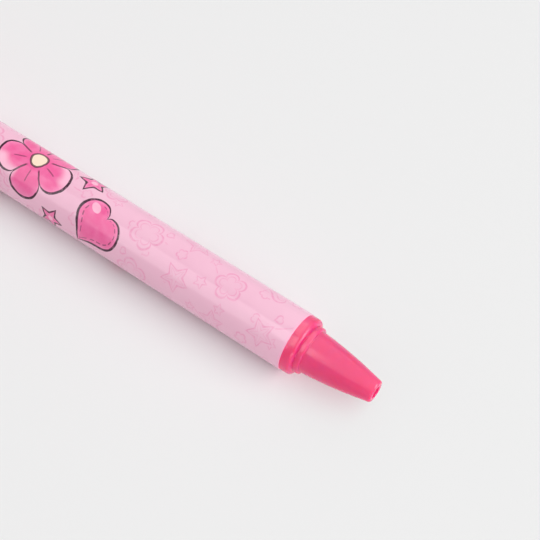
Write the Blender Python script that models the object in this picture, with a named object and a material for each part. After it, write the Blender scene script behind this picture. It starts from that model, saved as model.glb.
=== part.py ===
"""Click ballpoint pen with a plain round barrel, lying on its side with the pocket clip up.

Units are metres and +Z is up. The tip points along +X, and the pen's axis lies in the plane y = 0.
Sizes below are in millimetres. A station is a distance back from the tip end of the nose cone.
"""

import math

import bmesh
import bpy
import numpy as np

for old_object in list(bpy.data.objects):
    bpy.data.objects.remove(old_object, do_unlink=True)

MM = 0.001

# How finely round pieces are divided
OUTER_SIDES = 32
INNER_SIDES = 24
ARC_STEPS = 4

# Gaps between pieces
PRESS_GAP = 0.10
SLIDE_GAP = 0.15
SEAT_GAP = 0.12
STROKE_END_GAP = 0.40
INK_GAP = 0.30

# Barrel
BARREL_DIAMETER = 11.0
BARREL_WALL = 1.1
BARREL_LENGTH = 102.0
EDGE_BREAK = 0.15

# Nose cone
NOSE_LENGTH = 16.1
SNOUT_TIP_DIAMETER = 4.0
SNOUT_TIP_ROUND = 0.55
SNOUT_BASE_DIAMETER = 7.94
SNOUT_BULGE = 0.28
SNOUT_STEPS = 9
BEAD_DIAMETER = 8.94
BEAD_WIDTH = 0.92
BEAD_ROUND = 0.3
NOSE_GROOVE_DEPTH = 0.22
NOSE_GROOVE_WIDTH = 0.2
FLANGE_LENGTH = 2.1
FLANGE_STEP = 0.1
FLANGE_ROUND = 0.5
SPIGOT_LENGTH = 9.0
SPIGOT_WALL = 1.0
SPIGOT_CHAMFER = 0.4
SPRING_SEAT_DEPTH = 8.0

# Refill
NIB_RECESS = 0.9
NIB_DIAMETER = 2.3
NIB_HOLE_GAP = 0.1
NIB_LENGTH = 12.2
NIB_POINT_LENGTH = 2.4
NIB_LIP_DIAMETER = 0.9
NIB_SEAT_LENGTH = 3.0
NIB_CHANNEL_DIAMETER = 0.44
BALL_DIAMETER = 0.7
BALL_GAP = 0.04
BALL_SHOWS = 0.2
HOLDER_FRONT_DIAMETER = 3.4
HOLDER_CHANNEL_DIAMETER = 1.2
HOLDER_FLANGE_LENGTH = 1.6
HOLDER_STEM_LENGTH = 5.0
REFILL_DIAMETER = 4.7
REFILL_WALL = 0.6
INK_LENGTH = 46.0
FOLLOWER_LENGTH = 4.0
TAIL_FLANGE_LENGTH = 1.5
TAIL_STEM_LENGTH = 4.0
TAIL_VENT_DIAMETER = 0.9

# Return spring
SPRING_WIRE = 0.36
SPRING_LENGTH = 16.0
SPRING_TURNS = 9.0
SPRING_END_PITCH = 0.95
SPRING_POINTS_PER_TURN = 10
SPRING_INNER_GAP = 0.28
SPRING_OUTER_GAP = 0.22

# Click mechanism
STROKE = 6.0
TOOTH_COUNT = 8
TOOTH_HEIGHT = 1.0
TOOTH_FLANK_DEGREES = 3.0
SPLINE_COUNT = 4
SLOT_DEGREES = 42.0
ROTOR_SPLINE_DEGREES = 22.0
ROTOR_SPLINE_START_DEGREES = 3.0
ROTOR_SPLINE_LENGTH = 5.0
ROTOR_CLEAR_OF_RIBS = 2.0
ROTOR_FOOT_LENGTH = 1.2
PILOT_DIAMETER = 2.6
PILOT_LENGTH = 3.2
PLUNGER_SPLINE_DEGREES = 24.0
PLUNGER_SPLINE_LENGTH = 4.5
PLUNGER_WALL = 1.05
PLUNGER_FLANGE_LENGTH = 1.2
PLUNGER_STEM_DIAMETER = 3.4
PLUNGER_STEM_LENGTH = 8.0
SLEEVE_LENGTH = 14.0
SLEEVE_WALL = 0.8
RIB_LENGTH = 9.0
RIB_HEIGHT = 0.8
RIB_TOOTH_HEIGHT = 1.0
UNION_SINK = 0.3

# Rear cap and button
CAP_LENGTH = 13.0
CAP_PLUG_LENGTH = 4.0
CAP_PLUG_WALL = 0.6
CAP_GUIDE_LENGTH = 6.5
CAP_END_ROUND = 1.5
BUTTON_DIAMETER = 5.8
BUTTON_SHOWS = 10.0
BUTTON_END_ROUND = 0.8
BUTTON_BORE_LENGTH = 9.0

# Pocket clip
CLIP_ARM_LENGTH = 31.0
CLIP_TONGUE_LENGTH = 5.0
CLIP_ROOT_WIDTH = 4.6
CLIP_END_WIDTH = 3.8
CLIP_THICKNESS = 1.5
CLIP_EDGE = 0.35
CLIP_ABOVE_BARREL = 1.6
CLIP_OPEN_DEGREES = 4.0
CLIP_NUB_GAP = 0.3
CLIP_NUB_LENGTH = 5.0
CLIP_NUB_FROM_END = 3.6
PAD_FROM_FRONT = 0.8
PAD_LENGTH = 9.6
PAD_WIDTH = 6.4
PAD_ROOF = 0.75
PAD_SLOPE_LENGTH = 3.0
PAD_EDGE = 0.5

# Radii that follow from the sizes
barrel_radius = BARREL_DIAMETER / 2
barrel_bore = barrel_radius - BARREL_WALL
spigot_radius = barrel_bore - PRESS_GAP
nib_radius = NIB_DIAMETER / 2
nib_hole = nib_radius + NIB_HOLE_GAP
holder_radius = HOLDER_FRONT_DIAMETER / 2
refill_radius = REFILL_DIAMETER / 2
refill_bore = refill_radius - REFILL_WALL
refill_plug = refill_bore - PRESS_GAP
ink_radius = refill_bore - INK_GAP
guide_bore = holder_radius + SLIDE_GAP
spring_radius = holder_radius + SPRING_INNER_GAP + SPRING_WIRE / 2
spring_bore = max(spring_radius + SPRING_WIRE / 2 + SPRING_OUTER_GAP, refill_radius + SLIDE_GAP)
sleeve_radius = barrel_bore - PRESS_GAP
sleeve_bore = sleeve_radius - SLEEVE_WALL
rib_radius = sleeve_bore - RIB_HEIGHT
spline_radius = sleeve_bore - SLIDE_GAP
core_radius = rib_radius - SLIDE_GAP
plunger_bore = core_radius - PLUNGER_WALL
pilot_radius = min(PILOT_DIAMETER / 2, plunger_bore - SLIDE_GAP)
stem_radius = PLUNGER_STEM_DIAMETER / 2
button_radius = BUTTON_DIAMETER / 2
button_bore = stem_radius + PRESS_GAP
cap_guide_bore = button_radius + SLIDE_GAP
cap_cavity = spigot_radius - CAP_PLUG_WALL
plunger_flange = cap_cavity - SLIDE_GAP

# Stations that follow from the sizes
barrel_front = NOSE_LENGTH + SEAT_GAP
barrel_rear = barrel_front + BARREL_LENGTH
cap_front = barrel_rear + SEAT_GAP
cap_rear = cap_front + CAP_LENGTH
cap_plug_front = barrel_rear - CAP_PLUG_LENGTH
cap_shoulder = cap_rear - CAP_GUIDE_LENGTH
button_end = cap_rear + BUTTON_SHOWS
pen_length = button_end
sleeve_rear = cap_plug_front - SEAT_GAP
sleeve_front = sleeve_rear - SLEEVE_LENGTH
rib_front = sleeve_rear - RIB_LENGTH
rotor_top = rib_front + STROKE - ROTOR_CLEAR_OF_RIBS
rotor_front = rotor_top - ROTOR_SPLINE_LENGTH - ROTOR_FOOT_LENGTH
tail_rear = rotor_front - SEAT_GAP
tube_rear = tail_rear - TAIL_FLANGE_LENGTH - SEAT_GAP
ball_centre = NIB_RECESS + BALL_DIAMETER / 2
nib_front = NIB_RECESS + BALL_SHOWS
nib_rear = nib_front + NIB_LENGTH
holder_front = nib_rear - NIB_SEAT_LENGTH
guide_front = holder_front - STROKE - STROKE_END_GAP
spring_front = SPRING_SEAT_DEPTH + SEAT_GAP
holder_shoulder = spring_front + SPRING_LENGTH + SEAT_GAP
tube_front = holder_shoulder + HOLDER_FLANGE_LENGTH + SEAT_GAP
ink_front = tube_front + HOLDER_STEM_LENGTH + INK_GAP
flange_rear = cap_shoulder - SEAT_GAP

# The lowest flat of the barrel lies on z = 0
axis_height = barrel_radius * math.cos(math.pi / OUTER_SIDES)


def material(name, colour, roughness, metallic=0.0):
    """A plain surface for one kind of piece."""
    made = bpy.data.materials.new(name)
    made.use_nodes = True
    shader = made.node_tree.nodes["Principled BSDF"]
    shader.inputs["Base Color"].default_value = (*colour, 1.0)
    shader.inputs["Roughness"].default_value = roughness
    shader.inputs["Metallic"].default_value = metallic
    made.diffuse_color = (*colour, 1.0)
    return made


PALE_PINK = material("pale_pink_print", (0.88, 0.50, 0.62), 0.25)
HOT_PINK = material("hot_pink_plastic", (0.84, 0.075, 0.21), 0.22)
WHITE_PLASTIC = material("white_plastic", (0.80, 0.79, 0.76), 0.45)
CLEAR_PLASTIC = material("refill_plastic", (0.74, 0.78, 0.80), 0.30)
NIB_METAL = material("nib_metal", (0.72, 0.69, 0.62), 0.25, 1.0)
BALL_METAL = material("ball_metal", (0.40, 0.41, 0.43), 0.15, 1.0)
SPRING_METAL = material("spring_metal", (0.62, 0.63, 0.65), 0.28, 1.0)
INK = material("ink", (0.012, 0.020, 0.11), 0.35)
GREASE = material("grease", (0.80, 0.70, 0.42), 0.40)


def finish(name, mesh, station, surface, height=0.0):
    """Names a piece, puts its origin at a station on the axis or above it, and smooths round sides."""
    mesh.materials.append(surface)
    mesh.shade_smooth()
    mesh.set_sharp_from_angle(angle=math.radians(32))
    piece = bpy.data.objects.new(name, mesh)
    piece.location = ((pen_length / 2 - station) * MM, 0.0, (axis_height + height) * MM)
    bpy.context.collection.objects.link(piece)
    return piece


def mesh_from(name, bm):
    """Closes off an edited mesh with its faces turned outward."""
    bmesh.ops.remove_doubles(bm, verts=bm.verts, dist=1e-7)
    bmesh.ops.recalc_face_normals(bm, faces=bm.faces)
    mesh = bpy.data.meshes.new(name)
    bm.to_mesh(mesh)
    bm.free()
    return mesh


def arc(centre, radius, start, end, steps=ARC_STEPS):
    """Points on a circular arc in the plane of station and radius, angles in degrees."""
    angles = np.radians(np.linspace(start, end, steps + 1))
    return [(centre[0] + radius * math.cos(a), centre[1] + radius * math.sin(a)) for a in angles]


def turned(name, outline, sides, origin):
    """A piece of revolution about the pen's axis from a closed outline of station and radius."""
    bm = bmesh.new()
    tilt = math.pi / sides
    ring = []
    for station, radius in outline:
        side = (radius * MM * math.sin(tilt), radius * MM * math.cos(tilt))
        ring.append(bm.verts.new(((origin - station) * MM, *side)))
    edges = [bm.edges.new((a, b)) for a, b in zip(ring, ring[1:] + ring[:1])]
    bmesh.ops.spin(
        bm,
        geom=ring + edges,
        cent=(0, 0, 0),
        axis=(1, 0, 0),
        angle=2 * math.pi,
        steps=sides,
        use_merge=True,
    )
    for vert in bm.verts:
        if math.hypot(vert.co.y, vert.co.z) < 1e-7:
            vert.co.y = 0.0
            vert.co.z = 0.0
    bmesh.ops.dissolve_degenerate(bm, dist=1e-8, edges=bm.edges)
    return mesh_from(name, bm)


def add_sector(bm, angles, inner, outer, front, rear, origin, closed=False):
    """A ring or a part of one whose front and rear stations may vary with the angle, in degrees."""
    loops = []
    for angle in angles:
        turn = math.radians(angle)
        corners = ((front, inner), (front, outer), (rear, outer), (rear, inner))
        loop = []
        for end, radius in corners:
            x = (origin - end(angle)) * MM
            loop.append(bm.verts.new((x, radius * MM * math.cos(turn), radius * MM * math.sin(turn))))
        loops.append(loop)
    pairs = list(zip(loops, loops[1:]))
    if closed:
        pairs.append((loops[-1], loops[0]))
    for one, two in pairs:
        for k in range(4):
            m = (k + 1) % 4
            bm.faces.new((one[k], one[m], two[m], two[k]))
    if not closed:
        bm.faces.new(loops[0])
        bm.faces.new(loops[-1][::-1])


def join_on(piece, other):
    """Joins a hidden second shape onto a piece."""
    other.hide_render = True
    other.display_type = "WIRE"
    change = piece.modifiers.new("join_" + other.name, "BOOLEAN")
    change.operation = "UNION"
    change.solver = "EXACT"
    change.object = other


def cut_from(piece, other):
    """Takes a hidden second shape away from a piece."""
    other.hide_render = True
    other.display_type = "WIRE"
    change = piece.modifiers.new("cut_" + other.name, "BOOLEAN")
    change.operation = "DIFFERENCE"
    change.solver = "EXACT"
    change.object = other


def level(station):
    """The same station all the way round."""
    return lambda angle: station


# Barrel: a plain tube with broken edges
barrel_outline = [
    (barrel_front, barrel_bore + EDGE_BREAK),
    (barrel_front, barrel_radius - EDGE_BREAK),
    (barrel_front + EDGE_BREAK, barrel_radius),
    (barrel_rear - EDGE_BREAK, barrel_radius),
    (barrel_rear, barrel_radius - EDGE_BREAK),
    (barrel_rear, barrel_bore + EDGE_BREAK),
    (barrel_rear - EDGE_BREAK, barrel_bore),
    (barrel_front + EDGE_BREAK, barrel_bore),
]
finish("barrel", turned("barrel", barrel_outline, OUTER_SIDES, barrel_front), barrel_front, PALE_PINK)

# Nose cone: bulged snout, bead, groove, flange and a spigot that screws into the barrel
snout_base = SNOUT_BASE_DIAMETER / 2
snout_tip = SNOUT_TIP_DIAMETER / 2
flange_front = NOSE_LENGTH - FLANGE_LENGTH
flange_radius = barrel_radius - FLANGE_STEP
groove_front = flange_front - NOSE_GROOVE_WIDTH
bead_front = groove_front - BEAD_WIDTH
bead_radius = BEAD_DIAMETER / 2
groove_radius = bead_radius - NOSE_GROOVE_DEPTH
spigot_rear = NOSE_LENGTH + SPIGOT_LENGTH
spigot_bore = max(spigot_radius - SPIGOT_WALL, spring_bore + SLIDE_GAP)
tip_slope = math.degrees(math.atan2(snout_base - snout_tip + 4 * SNOUT_BULGE, bead_front))
tip_edge = arc(
    (SNOUT_TIP_ROUND, snout_tip - SNOUT_TIP_ROUND), SNOUT_TIP_ROUND, 180, 90 + tip_slope
)
snout_start, snout_first = tip_edge[-1]
snout = []
for part in np.linspace(0, 1, SNOUT_STEPS + 1)[1:]:
    straight = snout_first + (snout_base - snout_first) * part
    bulge = 4 * SNOUT_BULGE * part * (1 - part)
    snout.append((snout_start + (bead_front - snout_start) * part, straight + bulge))
bead = [
    *arc((bead_front + BEAD_ROUND, bead_radius - BEAD_ROUND), BEAD_ROUND, 180, 90),
    (groove_front - EDGE_BREAK, bead_radius),
    (groove_front, bead_radius - EDGE_BREAK),
]
nose_outline = [
    (EDGE_BREAK, nib_hole),
    (0.0, nib_hole + EDGE_BREAK),
    *tip_edge,
    *snout,
    *bead,
    (groove_front, groove_radius),
    (flange_front, groove_radius),
    *arc((flange_front + FLANGE_ROUND, flange_radius - FLANGE_ROUND), FLANGE_ROUND, 180, 90),
    (NOSE_LENGTH - EDGE_BREAK, flange_radius),
    (NOSE_LENGTH, flange_radius - EDGE_BREAK),
    (NOSE_LENGTH, spigot_radius),
    (spigot_rear - SPIGOT_CHAMFER, spigot_radius),
    (spigot_rear, spigot_radius - SPIGOT_CHAMFER),
    (spigot_rear, spigot_bore),
    (NOSE_LENGTH, spigot_bore),
    (flange_front, spring_bore),
    (SPRING_SEAT_DEPTH, spring_bore),
    (SPRING_SEAT_DEPTH, guide_bore),
    (guide_front, guide_bore),
    (guide_front - (guide_bore - nib_hole), nib_hole),
]
finish("nose_cone", turned("nose_cone", nose_outline, OUTER_SIDES, NOSE_LENGTH), NOSE_LENGTH, HOT_PINK)

# Nib: metal point with a ball socket in its tip
ball_radius = BALL_DIAMETER / 2
socket = ball_radius + BALL_GAP
channel = NIB_CHANNEL_DIAMETER / 2
lip = NIB_LIP_DIAMETER / 2
lip_turn = math.degrees(math.acos((ball_centre - nib_front) / socket))
back_turn = math.degrees(math.asin(channel / socket))
nib_outline = [
    *arc((ball_centre, 0.0), socket, 180 - lip_turn, back_turn, 8),
    (nib_rear, channel),
    (nib_rear, nib_radius - EDGE_BREAK),
    (nib_rear - EDGE_BREAK, nib_radius),
    (nib_front + NIB_POINT_LENGTH, nib_radius),
    (nib_front, lip),
]
finish("nib", turned("nib", nib_outline, INNER_SIDES, nib_rear), nib_rear, NIB_METAL)

# Writing ball
ball_mesh = bmesh.new()
bmesh.ops.create_uvsphere(ball_mesh, u_segments=12, v_segments=8, radius=ball_radius * MM)
finish("writing_ball", mesh_from("writing_ball", ball_mesh), ball_centre, BALL_METAL)

# Nib holder: front sleeve round the nib, spring shoulder and a stem in the refill tube
holder_channel = HOLDER_CHANNEL_DIAMETER / 2
nib_socket = nib_radius + PRESS_GAP
nib_stop = nib_rear + SEAT_GAP
holder_outline = [
    (holder_front, nib_socket),
    (holder_front, holder_radius - EDGE_BREAK),
    (holder_front + EDGE_BREAK, holder_radius),
    (holder_shoulder, holder_radius),
    (holder_shoulder, refill_radius),
    (holder_shoulder + HOLDER_FLANGE_LENGTH, refill_radius),
    (holder_shoulder + HOLDER_FLANGE_LENGTH, refill_plug),
    (tube_front + HOLDER_STEM_LENGTH, refill_plug),
    (tube_front + HOLDER_STEM_LENGTH, holder_channel),
    (nib_stop, holder_channel),
    (nib_stop, nib_socket),
]
holder_mesh = turned("nib_holder", holder_outline, INNER_SIDES, holder_shoulder)
finish("nib_holder", holder_mesh, holder_shoulder, WHITE_PLASTIC)

# Refill tube
tube_outline = [
    (tube_front, refill_bore),
    (tube_front, refill_radius),
    (tube_rear, refill_radius),
    (tube_rear, refill_bore),
]
tube_mesh = turned("refill_tube", tube_outline, INNER_SIDES, tube_front)
finish("refill_tube", tube_mesh, tube_front, CLEAR_PLASTIC)

# Ink, and the grease plug that follows it
ink_rear = ink_front + INK_LENGTH
ink_outline = [(ink_front, 0.0), (ink_front, ink_radius), (ink_rear, ink_radius), (ink_rear, 0.0)]
finish("ink_column", turned("ink_column", ink_outline, INNER_SIDES, ink_front), ink_front, INK)
plug_front = ink_rear + INK_GAP
plug_rear = plug_front + FOLLOWER_LENGTH
plug_outline = [(plug_front, 0.0), (plug_front, ink_radius), (plug_rear, ink_radius), (plug_rear, 0.0)]
finish("ink_follower", turned("ink_follower", plug_outline, INNER_SIDES, plug_front), plug_front, GREASE)

# Tail plug with a vent
vent = TAIL_VENT_DIAMETER / 2
tail_front = tube_rear - TAIL_STEM_LENGTH
tail_outline = [
    (tail_front, vent),
    (tail_front, refill_plug - EDGE_BREAK),
    (tail_front + EDGE_BREAK, refill_plug),
    (tube_rear + SEAT_GAP, refill_plug),
    (tube_rear + SEAT_GAP, refill_radius),
    (tail_rear, refill_radius),
    (tail_rear, vent),
]
finish("tail_plug", turned("tail_plug", tail_outline, INNER_SIDES, tail_rear), tail_rear, WHITE_PLASTIC)

# Return spring: one wire wound into open coils, with closer coils at both ends
first_plane = spring_front + SPRING_WIRE / 2
last_plane = spring_front + SPRING_LENGTH - SPRING_WIRE / 2
end_rise = min(SPRING_END_PITCH, (last_plane - first_plane) / SPRING_TURNS)
open_pitch = (last_plane - first_plane - 2 * end_rise) / (SPRING_TURNS - 2)
coil_points = []
for turn in np.linspace(0, SPRING_TURNS, int(round(SPRING_TURNS * SPRING_POINTS_PER_TURN)) + 1):
    rise = end_rise * min(turn, 1.0)
    rise += open_pitch * min(max(turn - 1.0, 0.0), SPRING_TURNS - 2.0)
    rise += end_rise * max(turn - SPRING_TURNS + 1.0, 0.0)
    swing = 2 * math.pi * turn
    place = (first_plane + rise, spring_radius * math.cos(swing), spring_radius * math.sin(swing))
    coil_points.append(place)
coil = np.array(coil_points)
for end, neighbour, at in ((0, 1, 0), (-1, -2, len(coil))):
    away = coil[end] - coil[neighbour]
    away[0] = 0.0
    straight = coil[end] + away / np.linalg.norm(away) * SPRING_WIRE
    coil = np.insert(coil, at, straight, axis=0)
steps_apart = np.abs(np.subtract.outer(np.arange(len(coil)), np.arange(len(coil))))
distance = np.linalg.norm(coil[:, None, :] - coil[None, :, :], axis=2)
coil_gap = distance[steps_apart > SPRING_POINTS_PER_TURN // 2].min() - SPRING_WIRE
print(f"return_spring least gap to itself: {coil_gap:.2f} mm")
wire = bpy.data.curves.new("return_spring", "CURVE")
wire.dimensions = "3D"
wire.bevel_depth = SPRING_WIRE / 2 * MM
wire.bevel_resolution = 1
wire.use_fill_caps = True
thread = wire.splines.new("POLY")
thread.points.add(len(coil) - 1)
for point, (station, side, up) in zip(thread.points, coil):
    point.co = ((spring_front - station) * MM, side * MM, up * MM, 1.0)
wire.materials.append(SPRING_METAL)
spring = bpy.data.objects.new("return_spring", wire)
spring.location = ((pen_length / 2 - spring_front) * MM, 0.0, axis_height * MM)
bpy.context.collection.objects.link(spring)

# Teeth that the plunger and the rotor cam share
tooth_pitch = 360.0 / TOOTH_COUNT
flank_part = TOOTH_FLANK_DEGREES / tooth_pitch
slot_pitch = 360.0 / SPLINE_COUNT
ramp_slope = TOOTH_HEIGHT / (tooth_pitch * (1 - flank_part))
rotor_spline_lead = ROTOR_SPLINE_DEGREES + TOOTH_FLANK_DEGREES / 2
rotor_turn = ROTOR_SPLINE_START_DEGREES + rotor_spline_lead - tooth_pitch * (1 - flank_part)
plunger_turn = rotor_turn + tooth_pitch / 2
mesh_gap = ramp_slope * tooth_pitch / 2 + SEAT_GAP


def crown(top, first):
    """Station of a crown of saw teeth: a long ramp that rises with the angle, then a steep flank."""

    def at(angle):
        part = ((angle - first) / tooth_pitch) % 1.0
        if part > 1 - 1e-9:
            part = 0.0
        if part <= 1 - flank_part + 1e-9:
            return top - TOOTH_HEIGHT * (1 - part / (1 - flank_part))
        return top - TOOTH_HEIGHT * (part - (1 - flank_part)) / flank_part

    return at


def crown_angles(first):
    """Angles at the foot, along the ramp and at the top of every tooth."""
    ramp = tooth_pitch * (1 - flank_part)
    inside = np.linspace(0, ramp, 4)
    return [first + k * tooth_pitch + a for k in range(TOOTH_COUNT) for a in inside]


def spline_set(name, start, width, outer, front, rear, station):
    """Four splines on one shape, sunk a little into the core that carries them."""
    bm = bmesh.new()
    for k in range(SPLINE_COUNT):
        first = k * slot_pitch + start
        angles = np.linspace(first, first + width, 4)
        add_sector(bm, angles, core_radius - UNION_SINK, outer, front(first), rear(first), station)
    return finish(name, mesh_from(name, bm), station, WHITE_PLASTIC)


# Rotor cam: core with a crown, four splines with sloped tops, a pilot in the plunger and a foot
rotor_ring_front = rotor_front + ROTOR_FOOT_LENGTH / 2
rotor_mesh = bmesh.new()
add_sector(
    rotor_mesh,
    crown_angles(rotor_turn),
    pilot_radius - UNION_SINK,
    core_radius,
    level(rotor_ring_front),
    crown(rotor_top, rotor_turn),
    rotor_top,
    closed=True,
)
rotor = finish("rotor_cam", mesh_from("rotor_cam", rotor_mesh), rotor_top, WHITE_PLASTIC)
pilot_rear = rotor_top + PILOT_LENGTH
foot_radius = min(core_radius, refill_radius) - EDGE_BREAK
pilot_outline = [
    (rotor_front, 0.0),
    (rotor_front, foot_radius - EDGE_BREAK),
    (rotor_front + EDGE_BREAK, foot_radius),
    (rotor_front + ROTOR_FOOT_LENGTH, foot_radius),
    (rotor_front + ROTOR_FOOT_LENGTH, pilot_radius),
    (pilot_rear - EDGE_BREAK, pilot_radius),
    (pilot_rear, pilot_radius - EDGE_BREAK),
    (pilot_rear, 0.0),
]
pilot_mesh = turned("rotor_pilot", pilot_outline, INNER_SIDES, rotor_top)
pilot = finish("rotor_pilot", pilot_mesh, rotor_top, WHITE_PLASTIC)
join_on(rotor, pilot)


def rotor_spline_top(first):
    """A spline's rear end, sloped like the tooth of the crown that it stands on and just below it."""
    return lambda angle: rotor_top - SEAT_GAP - ramp_slope * (first + rotor_spline_lead - angle)


def rotor_spline_front(first):
    """A spline's flat front end."""
    return level(rotor_top - ROTOR_SPLINE_LENGTH)


rotor_splines = spline_set(
    "rotor_splines",
    ROTOR_SPLINE_START_DEGREES,
    ROTOR_SPLINE_DEGREES,
    spline_radius,
    rotor_spline_front,
    rotor_spline_top,
    rotor_top,
)
join_on(rotor, rotor_splines)

# Plunger: crown on a hollow core, four splines, a flange that stops in the cap, and the button's stem
plunger_top = rotor_top + mesh_gap
flange_start = flange_rear - PLUNGER_FLANGE_LENGTH
ring_rear = flange_start + PLUNGER_FLANGE_LENGTH / 2
plunger_mesh = bmesh.new()
add_sector(
    plunger_mesh,
    crown_angles(plunger_turn),
    plunger_bore,
    core_radius,
    crown(plunger_top, plunger_turn),
    level(ring_rear),
    flange_rear,
    closed=True,
)
plunger = finish("plunger", mesh_from("plunger", plunger_mesh), flange_rear, WHITE_PLASTIC)
bore_end = pilot_rear + 2 * STROKE_END_GAP
stem_rear = flange_rear + PLUNGER_STEM_LENGTH
stem_outline = [
    (bore_end, 0.0),
    (bore_end, plunger_bore + UNION_SINK),
    (flange_start, plunger_bore + UNION_SINK),
    (flange_start, plunger_flange),
    (flange_rear, plunger_flange),
    (flange_rear, stem_radius),
    (stem_rear - EDGE_BREAK, stem_radius),
    (stem_rear, stem_radius - EDGE_BREAK),
    (stem_rear, 0.0),
]
stem_mesh = turned("plunger_stem", stem_outline, INNER_SIDES, flange_rear)
stem = finish("plunger_stem", stem_mesh, flange_rear, WHITE_PLASTIC)
join_on(plunger, stem)
plunger_spline_front = plunger_top + TOOTH_HEIGHT / 2


def plunger_spline_fore(first):
    """A plunger spline's front end, behind the crown."""
    return level(plunger_spline_front)


def plunger_spline_aft(first):
    """A plunger spline's rear end."""
    return level(plunger_spline_front + PLUNGER_SPLINE_LENGTH)


plunger_splines = spline_set(
    "plunger_splines",
    (SLOT_DEGREES - PLUNGER_SPLINE_DEGREES) / 2,
    PLUNGER_SPLINE_DEGREES,
    spline_radius,
    plunger_spline_fore,
    plunger_spline_aft,
    flange_rear,
)
join_on(plunger, plunger_splines)

# Cam sleeve: tube in the barrel with four ribs whose front ends carry two ramps each
sleeve_outline = [
    (sleeve_front, sleeve_bore),
    (sleeve_front, sleeve_radius - EDGE_BREAK),
    (sleeve_front + EDGE_BREAK, sleeve_radius),
    (sleeve_rear - EDGE_BREAK, sleeve_radius),
    (sleeve_rear, sleeve_radius - EDGE_BREAK),
    (sleeve_rear, sleeve_bore),
]
sleeve_mesh = turned("cam_sleeve", sleeve_outline, OUTER_SIDES, sleeve_rear)
sleeve = finish("cam_sleeve", sleeve_mesh, sleeve_rear, WHITE_PLASTIC)
rib_degrees = slot_pitch - SLOT_DEGREES
ramp_degrees = (rib_degrees - TOOTH_FLANK_DEGREES) / 2


def rib_end(first):
    """Station of a rib's front end: a ramp to the stop, a steep flank, and a ramp to the next slot."""

    def at(angle):
        turn = angle - first
        if turn <= ramp_degrees + 1e-9:
            return rib_front + RIB_TOOTH_HEIGHT * turn / ramp_degrees
        if turn < ramp_degrees + TOOTH_FLANK_DEGREES - 1e-9:
            return rib_front + RIB_TOOTH_HEIGHT * (1 - (turn - ramp_degrees) / TOOTH_FLANK_DEGREES)
        return rib_front + RIB_TOOTH_HEIGHT * (turn - ramp_degrees - TOOTH_FLANK_DEGREES) / ramp_degrees

    return at


rib_mesh = bmesh.new()
for k in range(SPLINE_COUNT):
    rib_first = k * slot_pitch + SLOT_DEGREES
    second_ramp = rib_first + ramp_degrees + TOOTH_FLANK_DEGREES
    rib_angles = [
        *np.linspace(rib_first, rib_first + ramp_degrees, 3),
        *np.linspace(second_ramp, rib_first + rib_degrees, 3),
    ]
    add_sector(
        rib_mesh,
        rib_angles,
        rib_radius,
        sleeve_bore + UNION_SINK,
        rib_end(rib_first),
        level(sleeve_rear - UNION_SINK),
        sleeve_rear,
    )
ribs = finish("sleeve_ribs", mesh_from("sleeve_ribs", rib_mesh), sleeve_rear, WHITE_PLASTIC)
join_on(sleeve, ribs)

# Push button: a cup pressed on the plunger's stem
button_front = cap_shoulder
button_outline = [
    (button_front, button_bore),
    (button_front, button_radius - EDGE_BREAK),
    (button_front + EDGE_BREAK, button_radius),
    *arc((button_end - BUTTON_END_ROUND, button_radius - BUTTON_END_ROUND), BUTTON_END_ROUND, 90, 0),
    (button_end, 0.0),
    (button_front + BUTTON_BORE_LENGTH, 0.0),
    (button_front + BUTTON_BORE_LENGTH, button_bore),
]
button_mesh = turned("push_button", button_outline, OUTER_SIDES, button_front)
finish("push_button", button_mesh, button_front, HOT_PINK)

# Rear cap: plug in the barrel, collar with a rounded end, guide bore for the button
cap_outline = [
    (cap_plug_front, cap_cavity),
    (cap_plug_front, spigot_radius - EDGE_BREAK),
    (cap_plug_front + EDGE_BREAK, spigot_radius),
    (cap_front, spigot_radius),
    (cap_front, barrel_radius - EDGE_BREAK),
    (cap_front + EDGE_BREAK, barrel_radius),
    *arc((cap_rear - CAP_END_ROUND, barrel_radius - CAP_END_ROUND), CAP_END_ROUND, 90, 0),
    (cap_rear, cap_guide_bore + EDGE_BREAK),
    (cap_rear - EDGE_BREAK, cap_guide_bore),
    (cap_shoulder, cap_guide_bore),
    (cap_shoulder, cap_cavity),
]
cap = finish("clip_cap", turned("clip_cap", cap_outline, OUTER_SIDES, cap_front), cap_front, HOT_PINK)

# Pad on the cap with a pocket for the clip's tongue
clip_under = barrel_radius + CLIP_ABOVE_BARREL
clip_over = clip_under + CLIP_THICKNESS
pad_front = cap_front + PAD_FROM_FRONT
pad_rear = pad_front + PAD_LENGTH
pad_low = cap_cavity + UNION_SINK
pad_high = clip_over + SEAT_GAP + PAD_ROOF
pad_side = [(pad_front, pad_low), (pad_front, pad_high), (pad_rear - PAD_SLOPE_LENGTH, pad_high)]
pad_drop = pad_high - barrel_radius
for a in np.radians(np.linspace(90, 0, 5))[1:]:
    along = pad_rear - PAD_SLOPE_LENGTH + PAD_SLOPE_LENGTH * math.cos(a)
    pad_side.append((along, barrel_radius + pad_drop * math.sin(a)))
pad_side.append((pad_rear, pad_low))
pad_mesh = bmesh.new()
pad_verts = [
    pad_mesh.verts.new(((cap_front - s) * MM, -PAD_WIDTH / 2 * MM, h * MM)) for s, h in pad_side
]
pad_face = pad_mesh.faces.new(pad_verts)
pushed = bmesh.ops.extrude_face_region(pad_mesh, geom=[pad_face])
pushed_verts = [item for item in pushed["geom"] if isinstance(item, bmesh.types.BMVert)]
bmesh.ops.translate(pad_mesh, verts=pushed_verts, vec=(0, PAD_WIDTH * MM, 0))
pad = finish("cap_pad", mesh_from("cap_pad", pad_mesh), cap_front, HOT_PINK)
pad_edges = pad.modifiers.new("soft_edges", "BEVEL")
pad_edges.width = PAD_EDGE * MM
pad_edges.segments = 2
pad_edges.limit_method = "ANGLE"
pad_edges.angle_limit = math.radians(50)
join_on(cap, pad)
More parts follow.
